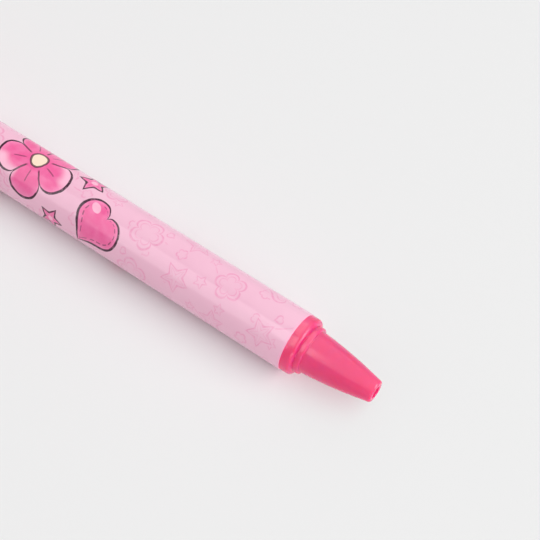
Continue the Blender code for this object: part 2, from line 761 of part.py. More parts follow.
flex_room = CLIP_TONGUE_LENGTH * math.tan(math.radians(CLIP_OPEN_DEGREES)) + SEAT_GAP
pocket_front = pad_front - PAD_FROM_FRONT / 2
pocket_rear = pad_front + CLIP_TONGUE_LENGTH + SEAT_GAP
pocket_size = (
    (pocket_rear - pocket_front) * MM,
    (CLIP_ROOT_WIDTH + 2 * SLIDE_GAP) * MM,
    (CLIP_THICKNESS + SEAT_GAP + flex_room) * MM,
)
pocket_mesh = bmesh.new()
bmesh.ops.create_cube(pocket_mesh, size=1.0)
bmesh.ops.scale(pocket_mesh, verts=pocket_mesh.verts, vec=pocket_size)
pocket_middle = (clip_over + SEAT_GAP + clip_under - flex_room) / 2
pocket_at = (pocket_front + pocket_rear) / 2
pocket = finish("clip_pocket", mesh_from("clip_pocket", pocket_mesh), pocket_at, HOT_PINK, pocket_middle)
cut_from(cap, pocket)

# Pocket clip: tongue, arm and a nub under its rounded end
clip_middle = (clip_under + clip_over) / 2
nub_at = CLIP_ARM_LENGTH - CLIP_NUB_FROM_END
nub_depth = CLIP_ABOVE_BARREL - CLIP_NUB_GAP
end_half = CLIP_END_WIDTH / 2
taper_end = CLIP_ARM_LENGTH - end_half
clip_places = [
    -CLIP_TONGUE_LENGTH,
    *np.linspace(0, nub_at - CLIP_NUB_LENGTH / 2, 5),
    *np.linspace(nub_at - CLIP_NUB_LENGTH / 2, nub_at + CLIP_NUB_LENGTH / 2, 9)[1:],
]
clip_places = [p for p in clip_places if p < taper_end - 0.1]
clip_places += [taper_end + end_half * math.sin(a) for a in np.radians([0, 20, 40, 58, 74])]


def clip_section(place):
    """Half width, underside and top of the clip at a distance from the pocket's mouth to the end."""
    along = min(max(place / taper_end, 0.0), 1.0)
    half = CLIP_ROOT_WIDTH / 2 + (end_half - CLIP_ROOT_WIDTH / 2) * along
    drop = 0.0
    if place > taper_end:
        past = (place - taper_end) / end_half
        half = end_half * math.sqrt(1 - past * past)
        drop = CLIP_EDGE * past * past
    from_nub = abs(place - nub_at) / (CLIP_NUB_LENGTH / 2)
    nub = nub_depth * 0.5 * (1 + math.cos(math.pi * from_nub)) if from_nub < 1 else 0.0
    return half, clip_under - clip_middle - nub, clip_over - clip_middle - drop


clip_mesh = bmesh.new()
clip_loops = []
for place in clip_places:
    half, low, high = clip_section(place)
    edge = min(CLIP_EDGE, half * 0.6)
    corners = [
        (-half, low + edge),
        (-half, high - edge),
        (-half + edge, high),
        (half - edge, high),
        (half, high - edge),
        (half, low + edge),
        (half - edge, low),
        (-half + edge, low),
    ]
    clip_loops.append([clip_mesh.verts.new((place * MM, y * MM, z * MM)) for y, z in corners])
for one, two in zip(clip_loops, clip_loops[1:]):
    for k in range(8):
        clip_mesh.faces.new((one[k], one[(k + 1) % 8], two[(k + 1) % 8], two[k]))
clip_mesh.faces.new(clip_loops[0])
clip_mesh.faces.new(clip_loops[-1][::-1])
clip = mesh_from("pocket_clip", clip_mesh)
finish("pocket_clip", clip, pad_front, HOT_PINK, clip_middle)
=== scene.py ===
"""Looks for a click ballpoint pen that lies on a pale floor with its tip towards +X.

The scene is in metres, in the row frame. Sizes of the pen are in millimetres here, and a station is a
distance back from its tip.
"""

import math

import bmesh
import bpy
import numpy as np
from mathutils import Matrix, Vector


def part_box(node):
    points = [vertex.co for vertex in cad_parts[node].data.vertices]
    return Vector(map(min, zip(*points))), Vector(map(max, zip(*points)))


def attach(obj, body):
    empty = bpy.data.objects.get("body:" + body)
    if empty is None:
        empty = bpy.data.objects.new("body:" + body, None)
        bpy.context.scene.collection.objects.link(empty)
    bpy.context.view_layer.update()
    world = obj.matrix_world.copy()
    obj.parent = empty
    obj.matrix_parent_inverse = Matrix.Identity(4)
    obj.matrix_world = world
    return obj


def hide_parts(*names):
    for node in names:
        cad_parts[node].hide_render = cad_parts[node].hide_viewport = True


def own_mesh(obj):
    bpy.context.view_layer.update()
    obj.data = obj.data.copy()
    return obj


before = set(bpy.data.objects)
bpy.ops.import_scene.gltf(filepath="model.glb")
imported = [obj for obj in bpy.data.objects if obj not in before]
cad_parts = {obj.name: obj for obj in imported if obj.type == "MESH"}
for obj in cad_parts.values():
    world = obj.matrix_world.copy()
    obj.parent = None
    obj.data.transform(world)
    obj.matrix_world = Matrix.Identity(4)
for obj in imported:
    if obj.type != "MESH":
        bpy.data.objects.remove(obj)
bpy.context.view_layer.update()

MM = 0.001
QUARTER = math.pi / 2
TIP_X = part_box("nose_cone")[1].x
AXIS_Z = (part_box("barrel")[0].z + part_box("barrel")[1].z) / 2


def ends(node):
    """Stations of a node's front and rear in the frame."""
    low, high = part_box(node)
    return [round((TIP_X - x) / MM, 2) for x in (high.x, low.x)]


# Sizes that the pieces share
GAP = 0.12
SEAM = 0.01
BARREL_RADIUS = AXIS_Z / MM
BARREL_BORE = 4.4
BARREL_REAR = ends("barrel")[1]
SPIGOT_RADIUS = 4.3
BUTTON_FRONT, BUTTON_END = ends("push_button")
# Barrel and nose all but touch here, where the solids keep a gap
BARREL_FRONT = round(ends("barrel")[0] - GAP, 2)
NOSE_REAR = round(BARREL_FRONT - SEAM, 2)

# Sides of turned pieces
LARGE_SIDES = 144
REFILL_SIDES = 96
INK_SIDES = 72
BALL_SIDES = 48

# A rounded corner has so many steps and takes at most this share of an edge
CORNER_STEPS = 6
CORNER_SHARE = 0.48
# Edges are sharp past this angle in degrees
SHARP_FROM = 38
# Vertices within the first distance in metres are joined, and edges under the second are dropped
JOIN_WITHIN = 2e-7
DROP_UNDER = 1e-8


# Shapes

def place(station, across=0.0, up=0.0):
    """A point in the row frame from a station and a place across and above the pen's axis."""
    return (TIP_X - station * MM, across * MM, AXIS_Z + up * MM)


def eased(corners):
    """A closed outline of stations and radii; a third number rounds its corner over that length."""
    points = np.array([c[:2] for c in corners], float)
    outline = []
    for k, (here, corner) in enumerate(zip(points, corners)):
        if len(corner) < 3:
            outline.append(tuple(here))
            continue
        reach = corner[2]
        to_last = points[k - 1] - here
        to_next = points[(k + 1) % len(points)] - here
        spans = np.linalg.norm(to_last), np.linalg.norm(to_next)
        first = here + to_last / spans[0] * min(reach, CORNER_SHARE * spans[0])
        last = here + to_next / spans[1] * min(reach, CORNER_SHARE * spans[1])
        for t in np.linspace(0, 1, CORNER_STEPS + 1):
            outline.append(tuple((1 - t) ** 2 * first + 2 * t * (1 - t) * here + t * t * last))
    return outline


def straight(radius, start, stop, count):
    """Points of one radius, spread evenly from one station to another."""
    return [(s, radius) for s in np.linspace(start, stop, count)]


def piece(name, mesh, body, surface, node):
    """Puts a finished mesh in the scene as a piece that rides on a body in place of a node."""
    mesh.shade_smooth()
    mesh.set_sharp_from_angle(angle=math.radians(SHARP_FROM))
    mesh.materials.clear()
    mesh.materials.append(surface)
    made = bpy.data.objects.new(name, mesh)
    bpy.context.scene.collection.objects.link(made)
    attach(made, body)
    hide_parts(node)
    return made


def lofted(name, rings, shut=False):
    """A closed surface through rings of equal count, joined round to the first or shut at both ends."""
    bm = bmesh.new()
    loops = [[bm.verts.new(p) for p in ring] for ring in rings]
    pairs = list(zip(loops, loops[1:]))
    if not shut:
        pairs.append((loops[-1], loops[0]))
    count = len(loops[0])
    for one, two in pairs:
        for k in range(count):
            m = (k + 1) % count
            bm.faces.new((one[k], one[m], two[m], two[k]))
    if shut:
        bm.faces.new(loops[0])
        bm.faces.new(loops[-1][::-1])
    bmesh.ops.remove_doubles(bm, verts=bm.verts, dist=JOIN_WITHIN)
    bmesh.ops.dissolve_degenerate(bm, dist=DROP_UNDER, edges=bm.edges)
    bmesh.ops.recalc_face_normals(bm, faces=bm.faces)
    mesh = bpy.data.meshes.new(name)
    bm.to_mesh(mesh)
    bm.free()
    return mesh


def turned(name, outline, sides=LARGE_SIDES, swell=None):
    """A solid of revolution about the pen's axis; swell(station, radius, turn) may vary its radius."""
    turns = np.linspace(0, 2 * math.pi, sides, endpoint=False)
    rings = []
    for station, radius in outline:
        ring = []
        for turn in turns:
            r = radius if swell is None else swell(station, radius, turn)
            ring.append(place(station, r * math.sin(turn), r * math.cos(turn)))
        rings.append(ring)
    return lofted(name, rings)


def cut(mesh, tool):
    """The mesh less another closed mesh."""
    scratch = []
    for data in (mesh, tool):
        thing = bpy.data.objects.new("scratch", data)
        bpy.context.scene.collection.objects.link(thing)
        scratch.append(thing)
    change = scratch[0].modifiers.new("cut", "BOOLEAN")
    change.operation = "DIFFERENCE"
    change.solver = "EXACT"
    change.object = scratch[1]
    bpy.context.view_layer.update()
    seen = scratch[0].evaluated_get(bpy.context.evaluated_depsgraph_get())
    made = bpy.data.meshes.new_from_object(seen)
    for thing in scratch:
        bpy.data.objects.remove(thing)
    return made


# Surfaces

class Field:
    """A number that varies over a surface, for sums written in plain arithmetic."""

    def __init__(self, socket):
        self.socket = socket
        self.tree = socket.id_data

    def do(self, operation, *others):
        """The result of a math node with this number first."""
        node = self.tree.nodes.new("ShaderNodeMath")
        node.operation = operation
        for slot, value in zip(node.inputs, (self, *others)):
            if isinstance(value, Field):
                self.tree.links.new(value.socket, slot)
            else:
                slot.default_value = value
        return Field(node.outputs[0])

    def __add__(self, other):
        return self.do("ADD", other)

    def __sub__(self, other):
        return self.do("SUBTRACT", other)

    def __mul__(self, other):
        return self.do("MULTIPLY", other)

    def __truediv__(self, other):
        return self.do("DIVIDE", other)

    def __abs__(self):
        return self.do("ABSOLUTE")

    def __pow__(self, other):
        return self.do("POWER", other)

    def least(self, other):
        return self.do("MINIMUM", other)

    def most(self, other):
        return self.do("MAXIMUM", other)

    def between(self, low, high, to_low=0.0, to_high=1.0, smooth=True):
        """Goes from one value at low to another at high, and stays there past either."""
        node = self.tree.nodes.new("ShaderNodeMapRange")
        node.interpolation_type = "SMOOTHSTEP" if smooth else "LINEAR"
        self.tree.links.new(self.socket, node.inputs["Value"])
        node.inputs["From Min"].default_value = low
        node.inputs["From Max"].default_value = high
        node.inputs["To Min"].default_value = to_low
        node.inputs["To Max"].default_value = to_high
        return Field(node.outputs["Result"])

    def under(self, edge, blur=0.03):
        """One where the number is below an edge, none above it."""
        return self.between(edge - blur, edge + blur, 1.0, 0.0)

    def stroke(self, half, blur=0.03):
        """A line of some half width along the places where the number is nought."""
        return abs(self).under(half, blur)


class Paint:
    """A material whose shader inputs are set by value or by a field."""

    # Places of the two colours and of the result among a mix node's sockets
    FIRST_COLOUR = 6
    SECOND_COLOUR = 7
    MIXED_COLOUR = 2

    def __init__(self, name, **constants):
        self.material = bpy.data.materials.new(name)
        self.material.use_nodes = True
        self.tree = self.material.node_tree
        self.shader = self.tree.nodes["Principled BSDF"]
        for key, value in constants.items():
            self.shader.inputs[key.replace("_", " ")].default_value = value
        self.spot = self.node("ShaderNodeTexCoord").outputs["Object"]
        self.x, self.y, self.z = self.split(self.spot)

    def node(self, kind, **settings):
        node = self.tree.nodes.new(kind)
        for key, value in settings.items():
            setattr(node, key, value)
        return node

    def link(self, source, target):
        self.tree.links.new(source, target)

    def split(self, socket):
        """The three numbers of a vector or colour."""
        node = self.node("ShaderNodeSeparateXYZ")
        self.link(socket, node.inputs[0])
        return [Field(node.outputs[k]) for k in range(3)]

    def stretched(self, sizes):
        """Coordinates in units of the given lengths in millimetres."""
        node = self.node("ShaderNodeMapping", vector_type="POINT")
        self.link(self.spot, node.inputs["Vector"])
        node.inputs["Scale"].default_value = [1 / (s * MM) for s in sizes]
        return node.outputs["Vector"]

    def noise(self, size, detail=3.0, rough=0.55):
        """Cloudy noise from 0 to 1 with features of a size in millimetres, one or along each axis."""
        sizes = size if isinstance(size, tuple) else (size, size, size)
        node = self.node("ShaderNodeTexNoise")
        self.link(self.stretched(sizes), node.inputs["Vector"])
        node.inputs["Scale"].default_value = 1.0
        node.inputs["Detail"].default_value = detail
        node.inputs["Roughness"].default_value = rough
        return Field(node.outputs[0])

    def mix(self, share, first, second):
        """A colour between two, each a colour or a socket."""
        node = self.node("ShaderNodeMix", data_type="RGBA")
        self.link(share.socket, node.inputs["Factor"])
        for index, colour in ((self.FIRST_COLOUR, first), (self.SECOND_COLOUR, second)):
            slot = node.inputs[index]
            if isinstance(colour, tuple):
                slot.default_value = (*colour, 1.0)
            else:
                self.link(colour, slot)
        return node.outputs[self.MIXED_COLOUR]

    def colour(self, socket):
        self.link(socket, self.shader.inputs["Base Color"])

    def roughness(self, field):
        self.link(field.socket, self.shader.inputs["Roughness"])

    def bump(self, height, depth):
        """Relief from a field of 0 to 1 over a depth in millimetres."""
        node = self.node("ShaderNodeBump")
        node.inputs["Strength"].default_value = 1.0
        node.inputs["Distance"].default_value = depth * MM
        self.link(height.socket, node.inputs["Height"])
        self.link(node.outputs["Normal"], self.shader.inputs["Normal"])


# Parts of the noise's range over which tone, gloss and the gloss of metal change
TONE_RANGE = (0.3, 0.7)
SMEAR_RANGE = (0.25, 0.75)
LAY_RANGE = (0.2, 0.8)
# Detail of the noise in smears and lines, and of that in reliefs
FINE = 4.0
COARSE = 2.0
# Moulded plastic: lengths of its shifts of tone, its smears and its grain
PLASTIC_IOR = 1.47
TONE_LENGTH = 5.0
SMEAR_LENGTHS = (2.5, 0.8, 0.8)
GRAIN_LENGTH = 0.22
# Lengths of the lines that a lathe leaves
TURNED_LAY = (0.04, 4.0, 4.0)


def moulded(name, deep, light, rough, grain, **constants):
    """Moulded plastic: slow shifts of tone, a faint grain and a gloss that isn't quite even."""
    paint = Paint(name, **{"IOR": PLASTIC_IOR, **constants})
    paint.colour(paint.mix(paint.noise(TONE_LENGTH).between(*TONE_RANGE), deep, light))
    smear = paint.noise(SMEAR_LENGTHS, FINE)
    paint.roughness(smear.between(*SMEAR_RANGE, rough - 0.05, rough + 0.06))
    paint.bump(paint.noise(GRAIN_LENGTH, COARSE), grain)
    return paint.material


def metal(name, dark, light, rough, lay=TURNED_LAY, depth=0.0015):
    """Turned or drawn metal with fine lines in one direction."""
    paint = Paint(name, Metallic=1.0)
    lines = paint.noise(lay, FINE, 0.6)
    paint.colour(paint.mix(lines, dark, light))
    paint.roughness(lines.between(*LAY_RANGE, rough - 0.07, rough + 0.09))
    paint.bump(lines, depth)
    return paint.material


# Print on the barrel: blossoms, hearts and stars in bright pink, and faint line motifs between them
PALE = (0.842, 0.479, 0.614)
PALE_DEEP = (0.824, 0.457, 0.594)
SKETCH = (0.783, 0.271, 0.456)
BRIGHT = (0.830, 0.100, 0.312)
BRIGHT_LIGHT = (0.910, 0.270, 0.500)
SHEEN_PINK = (0.960, 0.560, 0.700)
PLUM = (0.045, 0.007, 0.026)
CREAM = (0.950, 0.720, 0.560)
BARE_PINK = (0.870, 0.440, 0.600)
AROUND = 2 * math.pi * BARREL_RADIUS
# Half width of the dark outlines, their blur, and how far noise of these lengths shifts the print
LINE = 0.26
LINE_BLUR = 0.04
WOBBLE = 0.5
WOBBLE_ALONG = 2.6
WOBBLE_ROUND = 3.1
# Lengths of the changes of tone in the ground and in the bold motifs, of the breaks in pencil and ink
# lines, and of the film's relief
GROUND_LENGTH = 9.0
SHADE_LENGTH = 2.2
PENCIL_LENGTH = 0.9
INK_LENGTH = 0.7
RELIEF_LENGTH = 0.5
# Strength of the faint lines and of the pale and dark marks in the bold motifs
SKETCH_STRENGTH = 0.72
SHEEN_STRENGTH = 0.75
MARK_STRENGTH = 0.85
# The size of a sine or cosine of this many times the angle has five lobes
FIVE_LOBES = 5 / 2
PETAL_CUT = 0.42
STAR_CUT = 0.5
HEART_SCALE = 0.27
STITCHES = 22.0
# The film stops short of the barrel's ends, and gives way to bare plastic between these depths
FILM_MARGIN = 0.35
FILM_DEPTHS = (0.12, 0.08)
FILM_IOR = 1.42
FILM_SMEARS = (6.0, 1.2, 1.2)
FILM_ROUGHNESS = (0.09, 0.15)
FILM_RELIEF = 0.0012
# Cells round the barrel, cell length, motif scale and seed of the two sizes of faint motifs
FAINT_LARGE = (4, 9.2, 1.0, 0.37)
FAINT_SMALL = (7, 5.3, 0.42, 0.73)
# Chances below which a faint motif is a heart or else a blossom, and the step between kinds
HEARTS_TO = 0.36
BLOSSOMS_TO = 0.72
KIND_STEP = 0.001
# Kind, distance from the barrel's front, distance round it from the top, size and turn
MOTIFS = (
    ("blossom", 57.2, -1.0, 7.9, 0.35),
    ("heart", 41.6, 5.4, 8.2, -0.55),
    ("star", 46.4, -3.6, 2.9, 0.2),
    ("star", 50.0, 7.9, 2.5, 0.6),
    ("blossom", 36.5, 16.6, 4.8, 1.1),
    ("heart", 69.5, -10.6, 6.4, 0.5),
    ("blossom", 82.5, 7.2, 6.8, 0.8),
    ("star", 72.2, 3.0, 2.9, 0.1),
    ("heart", 65.4, 10.6, 5.8, 2.2),
    ("heart", 93.5, -4.6, 6.2, 0.2),
    ("blossom", 52.6, -15.6, 4.4, 0.1),
    ("star", 18.5, -12.6, 2.6, 0.4),
    ("heart", 27.2, -13.8, 5.6, 2.6),
    ("blossom", 95.0, 15.5, 4.8, 0.0),
    ("star", 84.0, -6.2, 2.7, 0.5),
)


def polar(p, q):
    """Distance from a motif's middle, and the angle there."""
    return (p * p + q * q).do("SQRT"), q.do("ARCTAN2", p)


def blossom_edge(angle, size):
    """How nearly an angle points along a petal, and how far out the blossom's edge is there."""
    lobes = abs((angle * FIVE_LOBES).do("COSINE"))
    return lobes, (lobes ** 0.5 * PETAL_CUT + (1 - PETAL_CUT)) * size


def heart_edge(p, q, far, size):
    """How far out a heart's edge is: 2 - 2 s + s sqrt(c) / (s + 1.4) for the direction's sine and cosine."""
    sine = q / far
    cosine = abs(p / far)
    bow = sine * cosine ** 0.5 / (sine + 1.4)
    return (sine * -2.0 + 2.0 + bow) * (size * HEART_SCALE)


def star_edge(angle, size):
    """How far out a star's edge is."""
    return (abs((angle * FIVE_LOBES).do("SINE")) ** 0.8 * -STAR_CUT + 1.0) * size


def bold_heart(p, q, size):
    """A heart with a stitched seam inside its edge and a glint on one lobe."""
    q = q + size * 0.5
    far, angle = polar(p, q * -1.0)
    edge = far - heart_edge(p, q * -1.0, far, size)
    glint = polar(p - size * 0.35, q * 1.5 - size * 0.13)[0]
    none = glint * 0.0
    seam = (edge + size * 0.13).stroke(LINE * 0.45, 0.05) * glint.between(size * 0.2, size * 0.26)
    stitches = (angle * STITCHES).do("SINE").between(-0.5, -0.3)
    return edge, seam * stitches * 0.8, glint.under(size * 0.14, 0.12), none


def bold_star(p, q, size):
    """A star with a pale middle."""
    far, angle = polar(p, q)
    edge = far - star_edge(angle, size)
    none = far * 0.0
    return edge, none, far.under(size * 0.22, 0.1), none


def bold_blossom(p, q, size):
    """A blossom with parted and veined petals, a sheen on each, and a ringed middle."""
    far, angle = polar(p, q)
    lobes, rim = blossom_edge(angle, size)
    edge = far - rim
    here = edge.under(0.0)
    parted = (lobes * far).under(0.42, 0.06) * far.between(size * 0.26, size * 0.34) * here
    vein = (abs((angle * FIVE_LOBES).do("SINE")) * far).under(0.30, 0.06)
    vein = vein * far.between(size * 0.28, size * 0.36) * far.under(size * 0.6, 0.2)
    ring = (far - size * 0.2).stroke(LINE * 0.8)
    sheen = (far / rim).between(0.62, 0.86) * (angle * FIVE_LOBES + 0.7).do("SINE").between(0.35, 0.8) * here
    return edge, parted.most(vein * 0.7).most(ring), sheen, far.under(size * 0.2)


BOLD_KINDS = {"heart": bold_heart, "star": bold_star, "blossom": bold_blossom}


def bold_motif(along, round_, motif):
    """Signed distance to a motif's edge, its dark lines, its pale marks and its middle."""
    kind, at, round_at, size, turn = motif
    du = along - at
    dw = (round_ - round_at).do("WRAP", AROUND / 2, -AROUND / 2)
    p = du * math.cos(turn) + dw * math.sin(turn)
    q = dw * math.cos(turn) - du * math.sin(turn)
    return BOLD_KINDS[kind](p, q, size)


def faint_motifs(paint, along, round_, layout):
    """Distance to the outlines of motifs in staggered cells, each with its own turn, and their size."""
    cells, length, scale, seed = layout
    column = (along / length).do("FLOOR")
    stagger = column.do("MODULO", 2.0) * 0.5
    turns = (round_ / AROUND + 0.5) * cells + stagger
    row = turns.do("FLOOR")
    cell = paint.node("ShaderNodeCombineXYZ")
    paint.link((column + seed).socket, cell.inputs[0])
    paint.link((row.do("MODULO", float(cells)) + seed + 0.24).socket, cell.inputs[1])
    chance = paint.node("ShaderNodeTexWhiteNoise", noise_dimensions="2D")
    paint.link(cell.outputs[0], chance.inputs["Vector"])
    pick, spin, shift = paint.split(chance.outputs["Color"])
    p = (along - (column + 0.5) * length) + (shift - 0.5) * (1.6 * scale)
    q = (turns - row - 0.5) * (AROUND / cells) + (spin - 0.5) * (1.2 * scale)
    angle = spin * (2 * math.pi)
    cosine = angle.do("COSINE")
    sine = angle.do("SINE")
    a = p * cosine + q * sine
    b = q * cosine - p * sine
    size = (shift * 0.9 + 2.3) * scale
    far, turn = polar(a, b)
    _, petals = blossom_edge(turn, size)
    rise = b + size * 0.4
    heart_far = polar(a, rise)[0]
    heart = heart_far - heart_edge(a, rise, heart_far, size)
    is_heart = pick.under(HEARTS_TO, KIND_STEP)
    is_blossom = pick.between(HEARTS_TO, HEARTS_TO + KIND_STEP) * pick.under(BLOSSOMS_TO, KIND_STEP)
    is_star = pick.between(BLOSSOMS_TO, BLOSSOMS_TO + KIND_STEP)
    off = heart * is_heart + (far - petals) * is_blossom + (far - star_edge(turn, size)) * is_star
    return off, size


def faint_lines(paint, along, round_):
    """Pencil outlines of the two sizes of faint motifs, and wavy stems between them."""
    off, size = faint_motifs(paint, along, round_, FAINT_LARGE)
    lines = off.stroke(0.2, 0.08).most((off + size * 0.28).stroke(0.12, 0.07) * 0.8)
    clear = off.between(0.5, 0.8)
    small, _ = faint_motifs(paint, along, round_, FAINT_SMALL)
    lines = lines.most(small.stroke(0.15, 0.07) * clear * 0.9)
    clear = clear * small.between(0.25, 0.5)
    sway = (along * 0.55).do("SINE") * 1.1 + (along * 0.21).do("SINE") * 1.9
    pitch = AROUND / FAINT_LARGE[0]
    trail = (round_ - sway).do("WRAP", pitch / 2, -pitch / 2)
    stems = trail.stroke(0.12, 0.07) * (along * 0.43 + 1.0).do("SINE").between(0.1, 0.35)
    return lines.most(stems * clear * 0.9)


def printed_film():
    """The barrel: glossy printed film outside, plain pink plastic at its ends and in its bore."""
    paint = Paint("printed_film", IOR=FILM_IOR)
    side = paint.y * (-1 / MM)
    up = (paint.z - AXIS_Z) / MM
    reach, turn = polar(up, side)
    wobble_along = paint.noise(WOBBLE_ALONG, COARSE) - 0.5
    wobble_round = paint.noise(WOBBLE_ROUND, COARSE) - 0.5
    from_front = (paint.x * -1.0 + (TIP_X - BARREL_FRONT * MM)) / MM
    along = from_front + wobble_along * WOBBLE
    round_ = turn * BARREL_RADIUS + wobble_round * WOBBLE
    edge, lines, pale, middle = bold_motif(along, round_, MOTIFS[0])
    for motif in MOTIFS[1:]:
        its_edge, its_lines, its_pale, its_middle = bold_motif(along, round_, motif)
        edge = edge.least(its_edge)
        lines = lines.most(its_lines)
        pale = pale.most(its_pale)
        middle = middle.most(its_middle)
    pencil = paint.noise(PENCIL_LENGTH).between(0.3, 0.6, 0.5, 1.0)
    faint = faint_lines(paint, along, round_) * pencil * edge.between(0.5, 0.9)
    colour = paint.mix(paint.noise(GROUND_LENGTH).between(*TONE_RANGE), PALE, PALE_DEEP)
    colour = paint.mix(faint * SKETCH_STRENGTH, colour, SKETCH)
    inside = edge.under(0.0)
    shade = paint.noise(SHADE_LENGTH).between(*TONE_RANGE) * 0.35 + edge.between(-1.6, -0.1) * 0.5
    fill = paint.mix(shade, BRIGHT, BRIGHT_LIGHT)
    fill = paint.mix(pale * SHEEN_STRENGTH, fill, SHEEN_PINK)
    fill = paint.mix(middle, fill, CREAM)
    fill = paint.mix(lines * MARK_STRENGTH, fill, PLUM)
    colour = paint.mix(inside, colour, fill)
    ink = edge.stroke(LINE, LINE_BLUR) * paint.noise(INK_LENGTH).between(0.25, 0.5, 0.75, 1.0)
    colour = paint.mix(ink, colour, PLUM)
    covered = from_front.between(FILM_MARGIN, FILM_MARGIN + 0.04)
    covered = covered * from_front.under(BARREL_REAR - BARREL_FRONT - FILM_MARGIN, 0.02)
    film = reach.between(*[BARREL_RADIUS - depth for depth in FILM_DEPTHS]) * covered
    paint.colour(paint.mix(film, BARE_PINK, colour))
    smear = paint.noise(FILM_SMEARS, FINE)
    paint.roughness(smear.between(*SMEAR_RANGE, *FILM_ROUGHNESS))
    paint.bump(paint.noise(RELIEF_LENGTH, COARSE) * 0.5 + film * 4.0, FILM_RELIEF)
    return paint.material


# Light goes into the pink plastic and comes out near by, red the farthest, which softens its shading
HOT_PINK = moulded(
    "hot_pink_plastic",
    (0.722, 0.026, 0.166),
    (0.742, 0.033, 0.187),
    rough=0.17,
    grain=0.0006,
    IOR=1.55,
    Subsurface_Weight=1.0,
    Subsurface_Radius=(1.0, 0.12, 0.2),
    Subsurface_Scale=3.0 * MM,
)
WHITE = moulded("white_plastic", (0.78, 0.77, 0.73), (0.83, 0.82, 0.79), 0.42, 0.003)
TUBE = moulded(
    "refill_plastic",
    (0.72, 0.77, 0.79),
    (0.80, 0.83, 0.84),
    rough=0.24,
    grain=0.0008,
    Transmission_Weight=0.55,
)
INK = moulded("ink", (0.008, 0.014, 0.085), (0.014, 0.024, 0.13), 0.2, 0.001)
GREASE = moulded("grease", (0.72, 0.60, 0.30), (0.82, 0.73, 0.46), 0.3, 0.004)
NIB_METAL = metal("nib_metal", (0.60, 0.57, 0.50), (0.80, 0.77, 0.69), 0.27)
BALL_METAL = metal("ball_metal", (0.42, 0.43, 0.45), (0.58, 0.59, 0.61), 0.16, (0.3, 0.3, 0.3), 0.0004)
SPRING_METAL = metal("spring_steel", (0.50, 0.51, 0.53), (0.72, 0.73, 0.75), 0.3, (0.5, 0.12, 0.12))
FILM = printed_film()

# Barrel
BARREL_STEPS = 26
barrel_outline = eased([
    (BARREL_FRONT, BARREL_BORE, 0.12),
    (BARREL_FRONT, BARREL_RADIUS, 0.05),
    *straight(BARREL_RADIUS, BARREL_FRONT, BARREL_REAR, BARREL_STEPS)[1:-1],
    (BARREL_REAR, BARREL_RADIUS, 0.16),
    (BARREL_REAR, BARREL_BORE, 0.12),
    *straight(BARREL_BORE, BARREL_REAR, BARREL_FRONT, BARREL_STEPS)[1:-1],
])
piece("barrel_shell", turned("barrel_shell", barrel_outline), "barrel", FILM, "barrel")

# Nose cone, with a thread on its spigot
FLANGE_FRONT = 14.0
FLANGE_RADIUS = BARREL_RADIUS - 0.1
FLANGE_DRAFT = 0.18
BEAD_FRONT = 12.88
BEAD_REAR = 13.8
BEAD_RADIUS = 4.47
BEAD_DRAFT = 0.05
GROOVE_RADIUS = 4.43
GROOVE_DRAFT = 0.1
SNOUT_FRONT = 0.473
SNOUT_FRONT_RADIUS = 2.08
SNOUT_REAR_RADIUS = 3.97
SNOUT_BULGE = 0.24
SNOUT_STEPS = 25
TIP_RADIUS = 2.02
NIB_HOLE = 1.18
NIB_HOLE_REAR = 3.3
HOLE_BEVEL = 0.04
HOLE_BEVEL_REAR = 0.06
GUIDE_BORE = 1.85
GUIDE_FRONT = 3.9
SPRING_SEAT = 8.0
SPRING_BORE = 2.56
SPIGOT_REAR = ends("nose_cone")[1]
SPIGOT_BORE = 3.3
THREAD_PITCH = 1.5
THREAD_DEPTH = 0.32
THREAD_FRONT = 17.3
THREAD_REAR = 24.2
THREAD_FADE = 0.7
THREAD_STEPS = 56
# Steepness of the thread's flanks, and how wide its groove is
THREAD_FLANK = 4.6
THREAD_GROOVE = 0.65


def thread(station, radius, turn):
    """The spigot's radius where the thread winds round it; other stations keep their own."""
    if radius < SPIGOT_RADIUS or not THREAD_FRONT < station < THREAD_REAR:
        return radius
    phase = ((station - THREAD_FRONT) / THREAD_PITCH - turn / (2 * math.pi)) % 1.0
    crest = min(max(abs(phase - 0.5) * THREAD_FLANK - THREAD_GROOVE, 0.0), 1.0)
    fade = min(station - THREAD_FRONT, THREAD_REAR - station, THREAD_FADE) / THREAD_FADE
    return radius - THREAD_DEPTH * (1 - crest) * fade


def snout_point(share):
    """Station and radius at a share of the snout's length, on a cone that bulges a little."""
    station = SNOUT_FRONT + (BEAD_FRONT - SNOUT_FRONT) * share
    cone = SNOUT_FRONT_RADIUS + (SNOUT_REAR_RADIUS - SNOUT_FRONT_RADIUS) * share
    return station, cone + 4 * SNOUT_BULGE * share * (1 - share)


